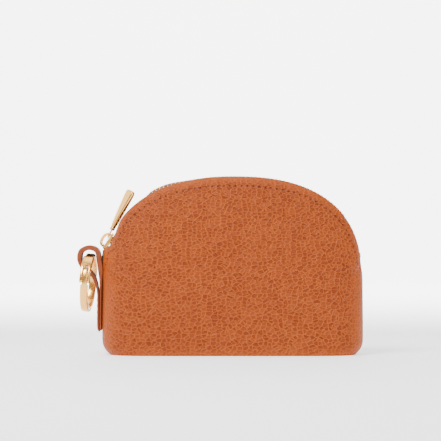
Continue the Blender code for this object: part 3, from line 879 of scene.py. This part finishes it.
def strapPiece(material):
    # One strap: up the pouch's side, round the loop and back down over itself.
    curve = openCurve(strapRoute, 6)
    work = bmesh.new()
    inner = work.verts.layers.float.new("innerFace")
    low = curve[-1].y
    rings = []
    for i, point in enumerate(curve):
        before = curve[max(i - 1, 0)]
        after = curve[min(i + 1, len(curve) - 1)]
        tangent = Vector((after.x - before.x, 0, after.y - before.y)).normalized()
        out = Vector((tangent.z, 0, -tangent.x))
        climb = min(max(point.y - low, 0) / (3.2 * mm), 1)
        half = strapBuild["halfWidth"] * (0.62 + 0.38 * math.sqrt(1 - (1 - climb) ** 2))
        ring = []
        section = roundedSection(half, -point.z / 2, point.z / 2, strapBuild["edge"])
        for y, n in section:
            vert = work.verts.new(Vector((point.x, y, point.y)) + out * n)
            vert[inner] = smoothStep(-0.36, -0.49, n / point.z)
            ring.append(vert)
        rings.append(ring)
    joinRings(work, rings)
    piece = finishMesh("strapLeather", work, material, 60)
    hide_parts("strap_loop", "strap_tail")
    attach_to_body(piece, "pouch")


def tapeEndAndGapShade(material):
    # A dark strip of zip tape down the pouch's side under the strap: partly the zip tape's end, partly
    # painted shade in the gap between strap and pouch.
    work = bmesh.new()
    work.verts.layers.float.new("alongRim")
    route = [(-55.6, 10.8), (-55.7, 20), (-55.7, 30), (-55.65, 38), (-55.4, 42), (-54.9, 44.8)]
    bmesh.ops.create_grid(work, x_segments=12, y_segments=30, size=0.5)
    for vert in work.verts:
        share = (vert.co.y + 0.5) * (len(route) - 1)
        k = min(int(share), len(route) - 2)
        x, z = Vector(route[k]).lerp(Vector(route[k + 1]), share - k)
        vert.co = Vector((x * mm, vert.co.x * 6.6 * mm, z * mm))
    piece = finishMesh("tapeEndAndGapShade", work, material, 60)
    thicken(piece, 0.5 * mm, 0.12 * mm)
    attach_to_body(piece, "pouch")


def strapStitches(thread):
    face = (strapRoute[-4][0] - strapRoute[-4][2] / 2) * mm
    work = bmesh.new()
    layers = tubeLayers(work)
    pitch = leatherLook["stitchPitch"]
    for side in (-1, 1):
        for k in range(4):
            start = tailLow[2] + 4.4 * mm + k * pitch * mm
            centres = []
            for i in range(6):
                share = i / 5
                sink = 0.28 * mm * (2 * share - 1) ** 4
                centres.append(Vector((face + 0.10 * mm + sink, side * 3.1 * mm, start + share * 2.1 * mm)))
            tubeAlong(work, centres, threadBuild["radius"], layers, 8, k * pitch)
    stitches = finishMesh("strapStitches", work, thread, 60)
    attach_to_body(stitches, "pouch")


ringPivot = Vector(joints["ring_swing"]["pos_m"])
ringDrop = Vector((0, 0, -ringBuild["outer"] - 0.2 * mm))
ringLean = Matrix.Rotation(math.radians(ringBuild["lean"]), 3, "Y")
ringTurn = Matrix.Rotation(math.radians(ringBuild["yaw"]), 3, "Z")


def ringPoint(angle, radius, across):
    # Angle 0 is the near side, 90 the top; across runs along the ring's normal.
    turn = math.radians(angle)
    place = Vector((across, -radius * math.cos(turn), radius * math.sin(turn)))
    return ringPivot + ringLean @ (ringDrop + ringTurn @ place)


def ringSweep(name, stations, material):
    work = bmesh.new()
    rings = []
    for angle, half, inner, outer, lean in stations:
        ease = min(0.45 * mm, half * 0.6)
        middle = (inner + outer) / 2
        ring = []
        for across, radius in roundedSection(half, inner, outer, ease):
            tilt = lean * (radius - middle) / (outer - inner)
            ring.append(work.verts.new(ringPoint(angle + tilt, radius, across)))
        rings.append(ring)
    joinRings(work, rings)
    return finishMesh(name, work, material, 50)


def evenSteps(first, last, count):
    return [first + (last - first) * i / count for i in range(count + 1)]


def pinBore(name, half, material):
    work = bmesh.new()
    middle = (ringBuild["inner"] + ringBuild["outer"]) / 2
    centre = ringPoint(ringBuild["pinAngle"], middle, 0)
    turn = (ringLean @ ringTurn).to_4x4() @ Matrix.Rotation(math.pi / 2, 4, "Y")
    bore = ringBuild["pinHole"]
    bmesh.ops.create_cone(work, cap_ends=True, segments=32, radius1=bore, radius2=bore, depth=half * 2,
                          matrix=Matrix.Translation(centre) @ turn)
    return finishMesh(name, work, material)


def applyCut(piece, cutter):
    cut = piece.modifiers.new("cut", "BOOLEAN")
    cut.operation = "DIFFERENCE"
    cut.solver = "EXACT"
    cut.object = cutter
    evaluated = piece.evaluated_get(bpy.context.evaluated_depsgraph_get())
    mesh = bpy.data.meshes.new_from_object(evaluated)
    piece.modifiers.remove(cut)
    piece.data = mesh
    mesh.set_sharp_from_angle(angle=math.radians(40))
    bpy.data.objects.remove(cutter, do_unlink=True)


def gateRing(material):
    build = ringBuild
    band = (build["halfWidth"], build["inner"], build["outer"])
    stations = [(265.7, *band, 9.6)] + [(a, *band, 0) for a in evenSteps(262, 66, 98)]
    stations += [(64, 2.1 * mm, 10.5 * mm, 12.65 * mm, 0)]
    fork = (build["forkHalfWidth"], build["forkInner"], build["forkOuter"])
    stations += [(a, *fork, 0) for a in evenSteps(62, 3, 30)]
    for angle, share, step in ((1.2, 1, 0.3 * mm), (0, 0.97, 0.75 * mm)):
        stations += [(angle, build["forkHalfWidth"] * share, build["forkInner"] + step,
                      build["forkOuter"] - step, 0)]
    body = ringSweep("gateRing", stations, material)
    slotStations = [(a, build["slot"], build["forkInner"] - 2 * mm, build["forkOuter"] + 2 * mm, 0)
                    for a in evenSteps(37, -6, 12)]
    applyCut(body, ringSweep("slotCutter", slotStations, material))
    applyCut(body, pinBore("forkBore", 4 * mm, material))
    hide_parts("ring_body")
    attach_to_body(body, "ring")


def ringGate(material):
    build = ringBuild
    band = (build["halfWidth"], build["inner"], build["outer"])
    tongue = (build["tongue"], build["forkInner"] + 0.1 * mm, build["forkOuter"] - 0.1 * mm)
    stations = [(26, *tongue, 0)] + [(a, *tongue, 0) for a in evenSteps(25, -3.2, 14)]
    stations += [(a, *band, 0) for a in evenSteps(-4.6, -81, 40)] + [(-86.7, *band, 9.6)]
    gate = ringSweep("ringGate", stations, material)
    applyCut(gate, pinBore("gateBore", 3 * mm, material))
    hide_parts("ring_gate")
    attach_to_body(gate, "gate")


def topStop(word, side, material):
    work = bmesh.new()
    a = shareAtHeight(toothBuild["stop"], -1)
    addBlock(work, rimMatrix(a, -0.5 * mm, side * 1.25 * mm), (1.6 * mm, 1.2 * mm, 1.6 * mm), 0.25 * mm)
    piece = finishMesh(word + "TopStop", work, material)
    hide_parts("zip_top_stop_" + word)
    attach(piece, side)


def dressNode(node, material):
    made = frame["nodes"][node]
    made.data.materials.clear()
    made.data.materials.append(material)


def studioFloor():
    # A pale floor that curves up into a backdrop behind the pouch.
    build = floorBuild
    work = bmesh.new()
    bmesh.ops.create_grid(work, x_segments=8, y_segments=60, size=0.5)
    for vert in work.verts:
        share = vert.co.y + 0.5
        vert.co.x *= build["width"]
        run = share * build["length"] - build["front"]
        bend = max(run - build["flat"], 0)
        turn = min(bend, build["bend"]) / build["bend"] * math.pi / 2
        vert.co.y = min(run, build["flat"]) + math.sin(turn) * build["rise"]
        vert.co.z = (1 - math.cos(turn)) * build["rise"] + max(bend - build["bend"], 0)
    made, shader, start = newMaterial("paleStudio")
    cloud = start.make("TexNoise", 0, {"Vector": objectMillimetres(start), "Scale": 0.01})
    feed(cloud.mix((0.93, 0.93, 0.93, 1), (0.96, 0.96, 0.96, 1)), shader, "Base Color")
    shader.inputs["Roughness"].default_value = 0.8
    shader.inputs["Emission Color"].default_value = (1, 1, 1, 1)
    shader.inputs["Emission Strength"].default_value = 0.8
    floor = finishMesh("studioFloor", work, made, 180)


def softLight(name, place, aim, size, energy):
    light = bpy.data.lights.new(name, "AREA")
    light.shape = "RECTANGLE"
    light.size = size[0]
    light.size_y = size[1]
    light.energy = energy
    made = bpy.data.objects.new(name, light)
    made.location = place
    made.rotation_euler = (Vector(aim) - Vector(place)).to_track_quat("-Z", "Y").to_euler()
    bpy.context.collection.objects.link(made)


def studio():
    build = cameraBuild
    camera = bpy.data.cameras.new("camera")
    camera.sensor_width = build["sensor"]
    camera.lens = build["sensor"] * build["distance"] / build["fieldWidth"]
    camera.clip_start = 0.01
    made = bpy.data.objects.new("camera", camera)
    made.location = (build["centreX"], panelLow[1] - build["distance"], build["centreZ"])
    made.rotation_euler = (math.pi / 2, 0, 0)
    bpy.context.collection.objects.link(made)
    bpy.context.scene.camera = made
    world = bpy.data.worlds.new("studioWorld")
    world.use_nodes = True
    world.node_tree.nodes["Background"].inputs["Color"].default_value = (1, 1, 1, 1)
    world.node_tree.nodes["Background"].inputs["Strength"].default_value = 0.34
    bpy.context.scene.world = world
    softLight("keyLight", (-0.30, -0.42, 0.62), (0, 0, 0.04), (0.35, 0.30), 9)
    softLight("fillLight", (0.55, -0.60, 0.25), (0, 0, 0.04), (0.5, 0.5), 3.5)
    softLight("topLight", (0.05, 0.12, 0.75), (0, 0, 0.05), (0.6, 0.4), 2.4)
    softLight("leftCard", (-0.55, 0.20, 0.32), (-0.045, 0, 0.06), (0.4, 0.4), 1.3)
    softLight("backdropLight", (0, 0.5, 0.95), (0, 1.9, 0.5), (1.6, 0.4), 120)


studio()
studioFloor()
print("camera and lights placed")

leather = leatherPanelMaterial()
strapLeather = strapMaterial()
lining = clothMaterial("liningTwill", liningBuild["colour"], 9.0, 0.06 * mm)
tapeCloth = tapeMaterial()
thread = threadMaterial()
gold = metalMaterial("paleGold", goldLook)
ribbedGold = metalMaterial("ribbedGold", goldLook, 11.0)
brass = metalMaterial("antiqueBrass", brassLook)
steel = metalMaterial("springSteel", {"colour": (0.55, 0.53, 0.50), "roughness": 0.3})
print("materials made")

for word, side in (("front", -1), ("back", 1)):
    leatherPanel(word, side, leather)
    liningWall(word, side, lining)
    zipTape(word, side, tapeCloth)
    zipTeeth(word, side, brass)
    stitchRow(word, side, thread)
    topStop(word, side, brass)
    print(word, "half made")

sliderPiece(ribbedGold)
sliderBridge(gold)
pullTab(gold)
strapPiece(strapLeather)
strapStitches(thread)
tapeEndAndGapShade(tapeCloth)
gateRing(gold)
ringGate(gold)
print("hardware and strap made")

dressNode("base_panel", leather)
dressNode("lining_floor", lining)
dressNode("zip_bottom_stop", brass)
dressNode("gate_pin", gold)
dressNode("gate_spring", steel)
print("frame nodes dressed")
